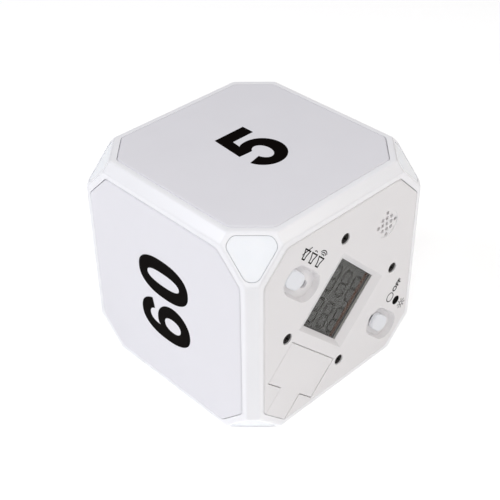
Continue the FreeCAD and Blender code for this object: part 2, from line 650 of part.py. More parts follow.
BOARD_BACK = "(board_deep + board_thick)"
BOARD_HIGH = "2 * (cell_down - %s - board_clear)" % TUBE
board_bar = block("board_bar", "board_long", BOARD_HIGH, "-" + BOARD_BACK, "-board_deep")
board_side = "2 * (%s - ledge_wide - 0.4)" % FLAT
board_trim = turned("board_trim", block("board_trim_square", board_side, board_side, "-" + BOARD_BACK,
                                        "-board_deep"), Rotation(Vector(0, 0, 1), 45))
board_cuts = []
screws = []
for i, signs in enumerate(SIGNS):
    x, y = at_signs((POST, POST), signs)
    board_cuts.append(rod("board_notch_%d" % i, "notch_round", "-board_deep - 5", "0", x, y))
    head_top = "(sleeve_deep - sleeve_floor)"
    shank = rod("cover_shank_%d" % i, "shank_round", "-%s - screw_long" % head_top, "-" + head_top, x, y)
    head = rod("cover_head_%d" % i, "head_round", "-" + head_top, "-%s + head_high" % head_top, x, y)
    cross = [block("cross_%d_%d" % (i, j), size[0], size[1], "-%s + head_high / 2" % head_top, "0", x, y)
             for j, size in enumerate((("cross_long", "cross_wide"), ("cross_wide", "cross_long")))]
    screws.append(cut("cover_screw_%d" % i, fuse("cover_screw_blank_%d" % i, shank, head), *cross))
on_control_face(fuse("cover_screw_set", *screws), "cover_screws")
taps = []
for i, signs in enumerate(SIGNS):
    x, y = at_signs(("boss_across", "boss_up"), signs)
    board_cuts.append(rod("board_hole_%d" % i, "tap_round + tap_play", "-board_deep - 5", "0", x, y))
    shank = rod("board_shank_%d" % i, "tap_round", "-" + BOARD_BACK, "tap_long - board_deep - 0.2", x, y)
    head = rod("board_head_%d" % i, "tap_head", "-%s - tap_head_high" % BOARD_BACK, "-" + BOARD_BACK, x, y)
    taps.append(fuse("board_screw_%d" % i, shank, head))
on_control_face(cut("board", common("board_blank", board_bar, board_trim), *board_cuts), "main_board")
on_control_face(fuse("board_screw_set", *taps), "board_screws")


# ---- Slide switches: sheet case on the board, lever in it, knob through the cover ----

CASE_TOP = "(board_deep - case_high)"
CASE_LONG = "(shoe_long + travel + 2 * shoe_clear + 2 * case_wall)"
SHOE_WIDE = "(case_wide - 2 * case_wall - 2 * shoe_clear)"
SHOE_TOP = "(%s + case_wall + shoe_clear)" % CASE_TOP
FLANGE_TOP = "(%s + knob_clear)" % DISH_BACK
FLANGE_LOW = "(%s + flange_thick)" % FLANGE_TOP
for name, middle, start, shift in (("volume", "volume_at", "volume_at - travel / 2", "flange_shift"),
                                   ("light", "light_at", "light_at", "0")):
    case = block(name + "_case_out", CASE_LONG, "case_wide", "-board_deep", "-" + CASE_TOP, middle, KNOB_LINE)
    room = block(name + "_case_in", CASE_LONG + " - 2 * case_wall", "case_wide - 2 * case_wall", "-board_deep - 1",
                 "-%s - case_wall" % CASE_TOP, middle, KNOB_LINE)
    gate = block(name + "_case_slot", "lever_long + travel + 4 * shoe_clear",
                 "lever_wide + 4 * shoe_clear", "-board_deep", "0", middle, KNOB_LINE)
    on_control_face(cut(name + "_case", case, room, gate), name + "_switch_case")
    shoe = block(name + "_shoe", "shoe_long", SHOE_WIDE, "-%s - shoe_high" % SHOE_TOP, "-" + SHOE_TOP, start,
                 KNOB_LINE)
    lever = block(name + "_lever_bar", "lever_long", "lever_wide", "-%s - shoe_high" % SHOE_TOP,
                  "socket_deep - socket_clear - " + FLANGE_LOW, start, KNOB_LINE)
    on_control_face(fuse(name + "_lever", shoe, lever), name + "_switch_lever")
    top = slot(name + "_knob_top", "knob_long", "knob_wide", "dish_deep - knob_low - knob_clear", "-knob_low",
               start, KNOB_LINE)
    round_body(top, "knob_round", at_height(0))
    neck = slot(name + "_neck", "neck_long", "neck_wide", FLANGE_LOW + " - dish_deep / 2", "-dish_deep / 2",
                start, KNOB_LINE)
    flange = slot(name + "_flange", "flange_long", "flange_wide", "flange_thick", "-" + FLANGE_TOP,
                  "%s + %s" % (start, shift), KNOB_LINE)
    socket = block(name + "_socket", "lever_long + 2 * socket_clear", "lever_wide + 2 * socket_clear",
                   "-%s - 1" % FLANGE_LOW, "socket_deep - " + FLANGE_LOW, start, KNOB_LINE)
    on_control_face(cut(name + "_knob_cut", fuse(name + "_knob_blank", top, neck, flange), socket), name + "_knob")


# ---- Sounder ----

SOUNDER_TOP = "(cover_thick + sounder_air)"
on_control_face(fuse("sounder_brass", rod("brass_disc", "sounder_round", "-%s - sounder_thick" % SOUNDER_TOP,
                                          "-" + SOUNDER_TOP, "0", "grille_up")), "sounder_disc")
on_control_face(fuse("sounder_piezo", rod("ceramic_disc", "ceramic_round",
                                          "-%s - sounder_thick - ceramic_thick" % SOUNDER_TOP,
                                          "-%s - sounder_thick" % SOUNDER_TOP, "0", "grille_up")),
                "sounder_ceramic")


# ---- Battery holder, cells and contacts ----

CELL_END = "(%s + cell_long)" % CELL_START
HOLDER_END = "(%s + spring_room)" % CELL_END
tubes = []
bores = []
for sign in (-1, 1):
    middle = "%d * %s / 2" % (sign, CELL_APART)
    tubes.append(rod("tube_%d" % (sign + 1), TUBE, "-%s - floor_thick" % HOLDER_END, "-" + CELL_START, middle,
                     "-cell_down"))
    bores.append(rod("bore_%d" % (sign + 1), "cell_round + tube_clear", "-" + HOLDER_END, "0", middle,
                     "-cell_down"))
    tubes.append(block("holder_foot_%d" % (sign + 1), "foot_thick", "foot_wide", "-%s - foot_long" % CELL_START,
                       "-cover_thick", "%d * (%s / 2 + %s - foot_thick / 2 + foot_out)" % (sign, CELL_APART, TUBE),
                       "-cell_down"))
web = block("holder_web", CELL_APART, "2 * " + TUBE + " - 3", "-%s - floor_thick" % HOLDER_END,
            "-%s - 1" % CELL_START, "0", "-cell_down")
on_control_face(cut("holder_tubes", fuse("holder_blank", web, *tubes), *bores), "battery_holder")

can_long = "(cell_long - button_high)"
left_can = rod("left_can", "cell_round", "-" + CELL_END, "-%s + %s" % (CELL_END, can_long), "-%s / 2" % CELL_APART,
               "-cell_down")
left_button = rod("left_button", "button_round", "-%s - 2 * button_high" % CELL_START, "-" + CELL_START,
                  "-%s / 2" % CELL_APART, "-cell_down")
on_control_face(fuse("cell_left", left_can, left_button), "left_cell")
right_can = rod("right_can", "cell_round", "-%s - %s" % (CELL_START, can_long), "-" + CELL_START, CELL_APART + " / 2",
                "-cell_down")
right_button = rod("right_button", "button_round", "-" + CELL_END, "-%s + 2 * button_high" % CELL_END,
                   CELL_APART + " / 2", "-cell_down")
on_control_face(fuse("cell_right", right_can, right_button), "right_cell")

helix = doc.addObject("Part::Helix", "spring_path")
bind(helix, Radius="spring_round", Height="spring_room - 2 * spring_wire - 0.1",
     Pitch="(spring_room - 2 * spring_wire - 0.1) / 2.5")
wire = doc.addObject("Part::Circle", "spring_section")
bind(wire, Radius="spring_wire")
place(wire, "spring_round", turn=Rotation(Vector(1, 0, 0), 90))
coil = doc.addObject("Part::Sweep", "spring_coil")
coil.Sections = [wire]
coil.Spine = (helix, [])
coil.Solid = True
coil.Frenet = True
spring = fuse("spring_turns", place(fuse("coil_moved", coil), "-%s / 2" % CELL_APART, "-cell_down",
                                    "-%s + spring_wire" % HOLDER_END))
on_control_face(spring, "spring_contact")
cup_low = rod("cup_low", "spring_round + 1", "-" + HOLDER_END, "-%s + strap_thick" % HOLDER_END, CELL_APART + " / 2",
              "-cell_down")
cup_high = rod("cup_high", "button_round", "-" + HOLDER_END, "-" + CELL_END, CELL_APART + " / 2", "-cell_down")
on_control_face(fuse("cup", cup_low, cup_high), "cup_contact")


# ---- Battery door: a T that swings out about its top edge ----

half_wide = DOOR_WIDE + " / 2"
half_tongue = "tongue_wide / 2"
door_points = [(half_wide, "-" + DOOR_TOP), ("-" + half_wide, "-" + DOOR_TOP),
               ("-" + half_wide, "-" + DOOR_STEP), ("-" + half_tongue, "-" + DOOR_STEP),
               ("-" + half_tongue, "-(%s)" % PLATE_CORNER), (half_tongue, "-(%s)" % PLATE_CORNER),
               (half_tongue, "-" + DOOR_STEP), (half_wide, "-" + DOOR_STEP)]
door_plate = padded("door_plate", lambda body, title: outline(body, title, door_points), "door_thick", "0")
round_body(door_plate, "door_round", at_height(0))
door_solids = [door_plate]
tab_top = "(cover_thick + tab_clear)"
for sign in (-1, 1):
    middle = "%d * tab_apart / 2" % sign
    stem_middle = "-%s - stem_thick / 2" % DOOR_TOP
    door_solids.append(block("door_stem_%d" % (sign + 1), "tab_wide", "stem_thick", "-%s - tab_thick" % tab_top,
                             "-door_thick / 2", middle, stem_middle))
    door_solids.append(block("door_tab_%d" % (sign + 1), "tab_wide", "stem_thick + tab_lap",
                             "-%s - tab_thick" % tab_top, "-" + tab_top, middle, stem_middle + " + tab_lap / 2"))
on_control_face(fuse("door", *door_solids), "battery_door")
strap = block("strap", CELL_APART + " + 2 * strap_lap", "strap_wide", "-door_thick - strap_thick",
              "-door_thick", "0", "-cell_down")
domes = [rod("dome_%d" % (sign + 1), "dome_radius", "-%s + 0.1" % CELL_START, "-door_thick",
             "%d * %s / 2" % (sign, CELL_APART), "-cell_down") for sign in (-1, 1)]
on_control_face(fuse("bridge", strap, *domes), "bridge_contact")


# ---- Rear of the board: tilt sensor, LEDs, chip and crystal ----

SENSOR_AT = ("-sensor_left", "0")
sensor_end = "(%s + sensor_high)" % BOARD_BACK
sensor_case = block("sensor_out", "sensor_size", "sensor_size", "-" + sensor_end, "-" + BOARD_BACK, *SENSOR_AT)
sensor_room = block("sensor_in", "sensor_size - 2 * sensor_wall", "sensor_size - 2 * sensor_wall",
                    "-%s - 1" % sensor_end, "-%s - sensor_wall" % BOARD_BACK, *SENSOR_AT)
on_control_face(cut("sensor", sensor_case, sensor_room), "tilt_sensor_case")
lid = block("sensor_lid", "sensor_size", "sensor_size", "-%s - lid_thick" % sensor_end, "-" + sensor_end,
            *SENSOR_AT)
on_control_face(fuse("sensor_cover", lid), "tilt_sensor_lid")
BALL_ROOM = "(sensor_size / 2 - sensor_wall - ball_round - ball_clear)"
ball = doc.addObject("Part::Sphere", "ball")
bind(ball, Radius="ball_round")
place(ball, SENSOR_AT[0] + " + " + BALL_ROOM, SENSOR_AT[1] + " - " + BALL_ROOM,
      "-(%s + sensor_wall + %s) / 2" % (BOARD_BACK, sensor_end))
on_control_face(fuse("ball_placed", ball), "tilt_ball")

for name, signs in zip(("upper_right", "upper_left", "lower_left", "lower_right"), SIGNS):
    x, y = at_signs(("lamp_across", "lamp_up"), signs)
    lamp = block("lamp_" + name, "lamp_long", "lamp_wide", "-%s - lamp_high" % BOARD_BACK, "-" + BOARD_BACK, x, y)
    on_control_face(fuse("led_body_" + name, lamp), "led_" + name)

chip_blob = rod("chip_blob", "chip_radius", "-%s - chip_high" % BOARD_BACK, "-" + BOARD_BACK, "chip_right")
doc.recompute()
chip_low = at_height(chip_blob.Shape.BoundBox.ZMin)
on_control_face(fuse("chip", rounded("chip_rounded", chip_blob, "chip_round", chip_low)), "control_chip")
crystal = doc.addObject("Part::Cylinder", "crystal_can")
bind(crystal, Radius="crystal_radius", Height="crystal_long")
place(crystal, "-crystal_long / 2", "crystal_up", "-%s - crystal_radius" % BOARD_BACK,
      Rotation(Vector(0, 1, 0), 90))
on_control_face(fuse("crystal_body", crystal), "crystal")


# ---- Leads: sleeved wires from the battery contacts and the sounder to the rear of the board ----

def route(points, bend):
    """Straight runs between the points, joined by tangent arcs of one radius."""
    edges = []
    start = points[0]
    for before, here, after in zip(points, points[1:], points[2:]):
        back = (before - here).normalize()
        onward = (after - here).normalize()
        half = back.getAngle(onward) / 2
        arc_start = here + back * (bend / math.tan(half))
        arc_end = here + onward * (bend / math.tan(half))
        middle = here + (back + onward).normalize() * (bend / math.sin(half) - bend)
        edges.append(Part.LineSegment(start, arc_start).toShape())
        edges.append(Part.Arc(arc_start, middle, arc_end).toShape())
        start = arc_end
    edges.append(Part.LineSegment(start, points[-1]).toShape())
    return Part.Wire(edges)


def lead(label, points):
    path = route(points, sheet.get("lead_bend"))
    heading = points[1] - points[0]
    section = Part.Wire(Part.makeCircle(sheet.get("lead_radius"), points[0], heading))
    tube = doc.addObject("Part::Feature", label)
    tube.Shape = path.makePipeShell([section], True, False)
    expected = math.pi * sheet.get("lead_radius") ** 2 * path.Length
    if abs(tube.Shape.Volume / expected - 1) > 0.02:
        raise RuntimeError(label + " doesn't follow its route")
    return on_control_face(tube, label)


size = {alias: sheet.get(alias) for alias in ALIASES}
board_back = size["board_deep"] + size["board_thick"]
cell_across = size["cell_round"] + size["cell_gap"] / 2
tube_radius = size["cell_round"] + size["tube_clear"] + size["tube_wall"]
board_edge = size["cell_down"] - tube_radius - size["board_clear"]
cell_start = size["cover_thick"] + size["tab_clear"] + size["tab_thick"] + size["cell_clear"]
holder_end = cell_start + size["cell_long"] + size["spring_room"] + size["floor_thick"]
pad_inset = 2 * size["lead_radius"] + 1.5
for sign, label in ((-1, "battery_black_lead"), (1, "battery_red_lead")):
    holder_tag = Vector(sign * cell_across, -size["cell_down"], -holder_end)
    behind = Vector(0, 0, -size["lead_loop"])
    over_board = Vector(sign * (cell_across + pad_inset), pad_inset - board_edge, -holder_end)
    pad = Vector(over_board.x, over_board.y, -board_back)
    lead(label, [holder_tag, holder_tag + behind, over_board + behind, pad])
sounder_back = size["cover_thick"] + size["sounder_air"] + size["sounder_thick"]
for label, across, below in (("sounder_black_lead", size["ceramic_round"] + 1.2, 0),
                             ("sounder_red_lead", size["ceramic_round"] / 4, size["ceramic_thick"])):
    joint = Vector(across, size["grille_up"], -sounder_back - below)
    turn = Vector(across, size["grille_up"], -board_back - size["lead_loop"] - 1.5)
    pad = Vector(across, board_edge - pad_inset, -board_back)
    lead(label, [joint, turn, Vector(pad.x, pad.y, turn.z), pad])


# ---- Checks, then one file for each sub-part ----

doc.recompute()
for thing in doc.Objects:
    if "Invalid" in thing.State or "Error" in thing.State:
        raise RuntimeError("%s failed: %s" % (thing.Name, thing.State))
os.makedirs("parts", exist_ok=True)
for piece in pieces:
    shape = piece.Shape
    if shape.isNull() or not shape.isValid() or not shape.Solids:
        raise RuntimeError(piece.Label + " has no valid solid")
for piece in pieces:
    piece.Shape.exportStep("parts/%s.step" % piece.Label)
    print("%-36s %9.2f mm3  %d solid" % (piece.Label, piece.Shape.Volume, len(piece.Shape.Solids)))
print(len(pieces), "sub-parts")
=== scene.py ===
import math

import bmesh
import bpy
from mathutils import Matrix, Vector


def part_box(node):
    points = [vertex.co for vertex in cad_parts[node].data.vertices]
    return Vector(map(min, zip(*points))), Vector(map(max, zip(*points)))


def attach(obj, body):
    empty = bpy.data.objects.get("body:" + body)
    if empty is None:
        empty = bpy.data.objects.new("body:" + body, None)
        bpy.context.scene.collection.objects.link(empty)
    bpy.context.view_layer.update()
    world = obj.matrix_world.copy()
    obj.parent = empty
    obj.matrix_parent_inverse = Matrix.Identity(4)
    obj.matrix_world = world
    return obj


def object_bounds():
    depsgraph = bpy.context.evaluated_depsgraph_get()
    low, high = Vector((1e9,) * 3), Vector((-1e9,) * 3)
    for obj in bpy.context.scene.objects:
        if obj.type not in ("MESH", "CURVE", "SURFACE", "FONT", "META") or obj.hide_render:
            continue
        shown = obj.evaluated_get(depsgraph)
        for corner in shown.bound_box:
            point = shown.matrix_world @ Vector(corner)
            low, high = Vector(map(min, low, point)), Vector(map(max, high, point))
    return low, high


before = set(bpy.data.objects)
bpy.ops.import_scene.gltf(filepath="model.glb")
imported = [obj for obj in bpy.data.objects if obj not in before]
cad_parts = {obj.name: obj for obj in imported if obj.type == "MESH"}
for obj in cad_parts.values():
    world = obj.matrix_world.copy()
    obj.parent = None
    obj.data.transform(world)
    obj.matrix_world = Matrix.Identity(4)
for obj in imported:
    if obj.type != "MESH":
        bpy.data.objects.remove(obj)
cad_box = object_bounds()
MM = 0.001


# ---- Studio: a pale sweep, soft boxes at both sides, and the camera ----
# The cube stands on a sweep of matt white paper inside a light tent. Soft boxes stand at its left and right
# and above the camera, and a wide one hangs overhead, so that every white face gets its own even tone.

def node(tree, kind, links=None, **settings):
    """Adds a node, sets its sockets and properties by name, and links the given sockets."""
    made = tree.nodes.new(kind)
    for name, value in settings.items():
        socket = made.inputs.get(name.replace("_", " "))
        if socket is not None and not hasattr(made, name):
            socket.default_value = value
        else:
            setattr(made, name, value)
    for target, source in (links or {}).items():
        tree.links.new(source, made.inputs[target])
    return made


def colour(text):
    """Linear RGBA of an sRGB hex colour."""
    parts = [int(text[i:i + 2], 16) / 255 for i in (1, 3, 5)]
    return tuple(p / 12.92 if p <= 0.04045 else ((p + 0.055) / 1.055) ** 2.4 for p in parts) + (1.0,)


def new_material(name):
    """An empty node material and its tree."""
    material = bpy.data.materials.new(name)
    material.use_nodes = True
    material.node_tree.nodes.clear()
    return material, material.node_tree


CUBE_MIDDLE = Vector((0, 0, (cad_box[0][2] + cad_box[1][2]) / 2))
CAMERA_PLACE = Vector((-0.15812, -0.16202, 0.20301))
CAMERA_AIM = Vector((0.5540, 0.5730, -0.6039))
CAMERA_ROLL = math.radians(-0.59)

camera_data = bpy.data.cameras.new("camera")
camera_data.lens = 75
camera_data.sensor_width = 36
camera = bpy.data.objects.new("camera", camera_data)
aim = CAMERA_AIM.to_track_quat("-Z", "Y").to_matrix() @ Matrix.Rotation(CAMERA_ROLL, 3, "Z")
camera.matrix_world = Matrix.Translation(CAMERA_PLACE) @ aim.to_4x4()
bpy.context.scene.collection.objects.link(camera)
bpy.context.scene.camera = camera
bpy.context.scene.view_settings.view_transform = "Standard"


def soft_box(name, place, size, power, tint="#FFFFFF"):
    """A square area light that faces the middle of the cube."""
    data = bpy.data.lights.new(name, "AREA")
    data.shape = "SQUARE"
    data.size = size
    data.energy = power
    data.color = colour(tint)[:3]
    lamp = bpy.data.objects.new(name, data)
    turn = (CUBE_MIDDLE - Vector(place)).to_track_quat("-Z", "Y").to_matrix().to_4x4()
    lamp.matrix_world = Matrix.Translation(Vector(place)) @ turn
    bpy.context.scene.collection.objects.link(lamp)


soft_box("soft_box_left", (-0.52, 0.30, 0.50), 0.3, 2.15, "#F8F9FF")
soft_box("soft_box_right", (0.30, -0.52, 0.50), 0.3, 1.55, "#FFFAF6")
soft_box("soft_box_front", (-0.42, -0.42, 0.55), 0.4, 1.6)
soft_box("soft_box_top", (0.1, 0.1, 0.8), 0.9, 2.8)

world = bpy.data.worlds.new("tent")
world.use_nodes = True
world.node_tree.nodes["Background"].inputs["Color"].default_value = colour("#FFFFFF")
WORLD_STRENGTH = 0.02
world.node_tree.nodes["Background"].inputs["Strength"].default_value = WORLD_STRENGTH
bpy.context.scene.world = world

FLOOR_REACH = 1.5
floor_material, tree = new_material("matt white paper sweep")
FLOOR_GLOW = 0.35
paper = node(tree, "ShaderNodeBsdfPrincipled", Base_Color=colour("#FAFAFA"), Roughness=0.9,
             Emission_Color=colour("#FFFFFF"), Emission_Strength=FLOOR_GLOW)
node(tree, "ShaderNodeOutputMaterial", {"Surface": paper.outputs[0]})
floor_mesh = bpy.data.meshes.new("floor")
floor_mesh.from_pydata([(-FLOOR_REACH, -FLOOR_REACH, 0), (FLOOR_REACH, -FLOOR_REACH, 0),
                        (FLOOR_REACH, FLOOR_REACH, 0), (-FLOOR_REACH, FLOOR_REACH, 0)], [], [(0, 1, 2, 3)])
floor_mesh.materials.append(floor_material)
floor = bpy.data.objects.new("floor", floor_mesh)
bpy.context.scene.collection.objects.link(floor)


# ---- Housing, control cover and battery door ----
# Three injection mouldings in white ABS from tools with a fine spark finish. The grain is some 0.15 mm across
# and only breaks up the highlights. The colour wanders by a percent or so over a few millimetres.

def plastic(name, base, roughness=0.42, grain=0.15, depth=0.004, wander=0.012, glow_through=0.08):
    """Moulded plastic: a faint cloud of colour, a spark-finish bump and a little light under the skin."""
    material, tree = new_material(name)
    place = node(tree, "ShaderNodeTexCoord").outputs["Object"]
    cloud = node(tree, "ShaderNodeTexNoise", {"Vector": place}, Scale=1 / (9 * MM), Detail=3.0)
    light, dark = [tuple(min(1.0, c * (1 + sign * wander)) for c in colour(base)[:3]) + (1.0,)
                   for sign in (1, -1)]
    mix = node(tree, "ShaderNodeMix", {"Factor": cloud.outputs["Fac"]}, data_type="RGBA")
    mix.inputs[6].default_value = dark
    mix.inputs[7].default_value = light
    sparks = node(tree, "ShaderNodeTexNoise", {"Vector": place}, Scale=1 / (grain * MM), Detail=2.0)
    sheen = node(tree, "ShaderNodeMapRange", {"Value": cloud.outputs["Fac"]})
    sheen.inputs["To Min"].default_value = roughness - 0.04
    sheen.inputs["To Max"].default_value = roughness + 0.04
    bump = node(tree, "ShaderNodeBump", {"Height": sparks.outputs["Fac"]}, Strength=0.35,
                Distance=depth * MM)
    skin = node(tree, "ShaderNodeBsdfPrincipled",
                {"Base Color": mix.outputs[2], "Roughness": sheen.outputs[0], "Normal": bump.outputs[0]},
                IOR=1.53)
    skin.inputs["Subsurface Weight"].default_value = glow_through
    skin.inputs["Subsurface Radius"].default_value = (1.0, 0.95, 0.9)
    skin.inputs["Subsurface Scale"].default_value = 1.2 * MM
    node(tree, "ShaderNodeOutputMaterial", {"Surface": skin.outputs[0]})
    return material


def dress(material, *names):
    """Gives CAD nodes their finish."""
    for name in names:
        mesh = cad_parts[name].data
        mesh.materials.clear()
        mesh.materials.append(material)


# The housing's white is lighter than the cover's and plates', though all are the same ABS. This is painted
# highlight: it lifts the chamfer bands and corners to the brightness the soft boxes give them.
dress(plastic("white ABS, polished housing, lightened as painted highlight", "#F6F6F9", roughness=0.3), "housing")
dress(plastic("white ABS, spark finish", "#E8E6E7"), "control_cover", "battery_door")


# ---- Minute plates ----
# Five octagonal plates in the same white ABS, from a tool polished a little finer, snapped into the faces.
# The number of minutes is pad-printed on each in warm black ink about 0.02 mm thick, drawn here to stand out.

plate_abs = plastic("white ABS plate, fine satin", "#E9E8ED", roughness=0.36, grain=0.12)
dress(plate_abs, "minute_plate_5", "minute_plate_60", "minute_plate_15", "minute_plate_30", "rear_plate")


def ink(name, base):
    """Pad-printing ink: dense, slightly uneven at the scale of the pad's silicone, with a dull gloss."""
    material, tree = new_material(name)
    place = node(tree, "ShaderNodeTexCoord").outputs["Object"]
    patches = node(tree, "ShaderNodeTexNoise", {"Vector": place}, Scale=1 / (0.8 * MM), Detail=4.0)
    mix = node(tree, "ShaderNodeMix", {"Factor": patches.outputs["Fac"]}, data_type="RGBA")
    mix.inputs[6].default_value = tuple(c * 0.8 for c in colour(base)[:3]) + (1.0,)
    mix.inputs[7].default_value = tuple(c * 1.25 for c in colour(base)[:3]) + (1.0,)
    bump = node(tree, "ShaderNodeBump", {"Height": patches.outputs["Fac"]}, Strength=0.3, Distance=0.004 * MM)
    film = node(tree, "ShaderNodeBsdfPrincipled", {"Base Color": mix.outputs[2], "Normal": bump.outputs[0]},
                Roughness=0.8)
    film.inputs["Specular IOR Level"].default_value = 0.04
    node(tree, "ShaderNodeOutputMaterial", {"Surface": film.outputs[0]})
    return material


black_ink = ink("black pad-printing ink", "#0A0605")
INK_THICK = 0.02


def bend(middle, radii, start, end, power=2.0):
    """Points on a superellipse from one angle to another, in degrees; a power of 2 is an ellipse."""
    steps = max(4, round(abs(end - start) / 7))
    points = []
    for step in range(steps + 1):
        angle = math.radians(start + (end - start) * step / steps)
        c, s = math.cos(angle), math.sin(angle)
        points.append((middle[0] + radii[0] * math.copysign(abs(c) ** (2 / power), c),
                       middle[1] + radii[1] * math.copysign(abs(s) ** (2 / power), s)))
    return points


def numeral(digit):
    """Closed outlines of a bold grotesque numeral 19.3 units tall, centred on its own middle."""
    if digit == "5":
        outer = bend((0.6, -3.0), (6.5, 6.65), 110, -165)
        inner = bend((0.6, -3.0), (2.45, 3.3), 195, 500)
        return [[(-4.7, 9.65), (5.6, 9.65), (5.6, 5.75), (-1.75, 5.75), (-2.1, 2.9)] + outer + inner
                + [(-2.0, -0.95), (-5.6, -0.7)]]
    if digit == "0":
        return [bend((0, 0), (6.2, 9.65), 0, 353, 2.35), bend((0, 0), (2.1, 6.2), 0, 353, 2.35)]
    if digit == "6":
        body = bend((0, 0), (6.3, 9.65), 28, 262, 2.3)
        bowl = bend((0.05, -3.2), (6.25, 6.45), 268, 468)
        throat = bend((0.1, 2.9), (2.35, 3.35), 190, 22, 2.2)
        return [body + bowl + throat, bend((0, -2.75), (2.2, 3.15), 0, 353, 2.2)]
    if digit == "3":
        head = bend((0.1, 4.45), (5.75, 5.2), 170, -38)
        foot = bend((0, -4.05), (6.3, 5.6), 42, -172)
        hollow_foot = bend((0, -4.0), (2.5, 2.45), 188, 420)
        hollow_head = bend((0.1, 4.5), (2.1, 1.95), -50, 172)
        return [head + foot + hollow_foot + [(-1.4, -0.95), (-1.4, 1.95)] + hollow_head]
    flag = [(3.4, 9.65), (0.5, 9.65)] + bend((-3.6, 9.4), (3.6, 3.6), -20, -90) + [(-3.6, 2.6), (-0.7, 2.6)]
    return [flag + [(-0.7, -9.65), (3.4, -9.65)]]


def face_matrix(across, up, out):
    """Takes millimetres on a face, x along its text and y up it, to the cube's own frame."""
    half = (cad_box[1][0] - cad_box[0][0]) / 2
    turn = Matrix((across, up, out)).transposed().to_4x4()
    return Matrix.Translation(CUBE_MIDDLE + Vector(out) * half) @ turn @ Matrix.Scale(MM, 4)


def printed(name, loops, matrix, material, body="root", lift=0.0, thick=INK_THICK):
    """Fills closed outlines as one thin film that lies on a face."""
    curve = bpy.data.curves.new(name, "CURVE")
    curve.dimensions = "2D"
    curve.fill_mode = "BOTH"
    curve.extrude = thick / 2
    for loop in loops:
        spline = curve.splines.new("POLY")
        spline.points.add(len(loop) - 1)
        for point, (x, y) in zip(spline.points, loop):
            point.co = (x, y, 0, 1)
        spline.use_cyclic_u = True
    return film_from(curve, name, matrix, material, body, lift + thick / 2)


def film_from(curve, name, matrix, material, body, lift):
    """Turns a flat curve or a text into a mesh piece in its place."""
    draft = bpy.data.objects.new(name + "_draft", curve)
    bpy.context.scene.collection.objects.link(draft)
    bpy.context.view_layer.update()
    mesh = bpy.data.meshes.new_from_object(draft.evaluated_get(bpy.context.evaluated_depsgraph_get()))
    bpy.data.objects.remove(draft)
    mesh.name = name
    mesh.transform(matrix @ Matrix.Translation((0, 0, lift)))
    tidy = bmesh.new()
    tidy.from_mesh(mesh)
    bmesh.ops.remove_doubles(tidy, verts=tidy.verts, dist=0.001 * MM)
    bmesh.ops.recalc_face_normals(tidy, faces=tidy.faces)
    tidy.to_mesh(mesh)
    tidy.free()
    mesh.materials.clear()
    mesh.materials.append(material)
    piece = bpy.data.objects.new(name, mesh)
    bpy.context.scene.collection.objects.link(piece)
    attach(piece, body)
    return piece


NUMERAL_SCALE = 0.975
X, Y, Z = (1, 0, 0), (0, 1, 0), (0, 0, 1)
MINUS_X, MINUS_Z = (-1, 0, 0), (0, 0, -1)
NUMBERS = (("5", ((0, "5"),), face_matrix(X, Y, Z)),
           ("60", ((-7.0, "6"), (7.2, "0")), face_matrix(Z, Y, MINUS_X)),
           ("15", ((-6.2, "1"), (6.4, "5")), face_matrix(MINUS_Z, Y, X)),
           ("30", ((-7.0, "3"), (7.2, "0")), face_matrix(MINUS_X, Y, MINUS_Z)))
for text, digits, matrix in NUMBERS:
    loops = [[((x + shift) * NUMERAL_SCALE, y * NUMERAL_SCALE) for x, y in loop]
             for shift, digit in digits for loop in numeral(digit)]
    printed("printed_" + text, loops, matrix, black_ink)


# ---- Corner lenses ----
# Eight plugs in milky acrylic that the flashing light shows through. The acrylic is polished, bluish beside
# the warmer ABS, and its edges look brighter because light comes out of them.

def milky_acrylic():
    material, tree = new_material("milky acrylic, polished")
    place = node(tree, "ShaderNodeTexCoord").outputs["Object"]
    haze = node(tree, "ShaderNodeTexNoise", {"Vector": place}, Scale=1 / (5 * MM), Detail=2.0)
    mix = node(tree, "ShaderNodeMix", {"Factor": haze.outputs["Fac"]}, data_type="RGBA")
    mix.inputs[6].default_value = colour("#EFF3F8")
    mix.inputs[7].default_value = colour("#F7F9FD")
    ripple = node(tree, "ShaderNodeTexNoise", {"Vector": place}, Scale=1 / (2.5 * MM), Detail=1.0)
    bump = node(tree, "ShaderNodeBump", {"Height": ripple.outputs["Fac"]}, Strength=0.1, Distance=0.02 * MM)
    lens = node(tree, "ShaderNodeBsdfPrincipled", {"Base Color": mix.outputs[2], "Normal": bump.outputs[0]},
                Roughness=0.22, IOR=1.49)
    lens.inputs["Subsurface Weight"].default_value = 0.15
    lens.inputs["Subsurface Radius"].default_value = (1.0, 1.1, 1.3)
    lens.inputs["Subsurface Scale"].default_value = 1.5 * MM
    node(tree, "ShaderNodeOutputMaterial", {"Surface": lens.outputs[0]})
    return material


dress(milky_acrylic(), *[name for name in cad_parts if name.startswith("corner_lens_")])


# ---- Printing on the control cover ----
# Small marks in thin black ink: a sounder that is crossed out, low or loud over the volume knob, and a ring,
# a dot and a sun over the light knob, with the word OFF set on its side. The lines are 0.24 to 0.36 mm wide.

D = math.sqrt(0.5)
CONTROL = face_matrix((D, 0, -D), (D, 0, D), (0, -1, 0))
HORN_LINE = 0.36
RING_LINE = 0.26
THIN_LINE = 0.24


def stroke(points, width, closed=False):
    """Outlines of a line of one width along the points: one loop, or two for a closed line."""
    count = len(points)
    sides = ([], [])
    for i, here in enumerate(points):
        before = Vector(points[i - 1]) if closed or i > 0 else Vector(here)
        after = Vector(points[(i + 1) % count]) if closed or i < count - 1 else Vector(here)
        first = (Vector(here) - before).normalized()
        second = (after - Vector(here)).normalized()
        if first.length == 0:
            first = second
        if second.length == 0:
            second = first
        normal = Vector((-first.y - second.y, first.x + second.x)).normalized()
        reach = width / 2 / max(0.5, normal.dot(Vector((-first.y, first.x))))
        sides[0].append(tuple(Vector(here) + normal * reach))
        sides[1].append(tuple(Vector(here) - normal * reach))
    return [sides[0], sides[1]] if closed else [sides[0] + sides[1][::-1]]


def moved(points, x, y):
    return [(px + x, py + y) for px, py in points]


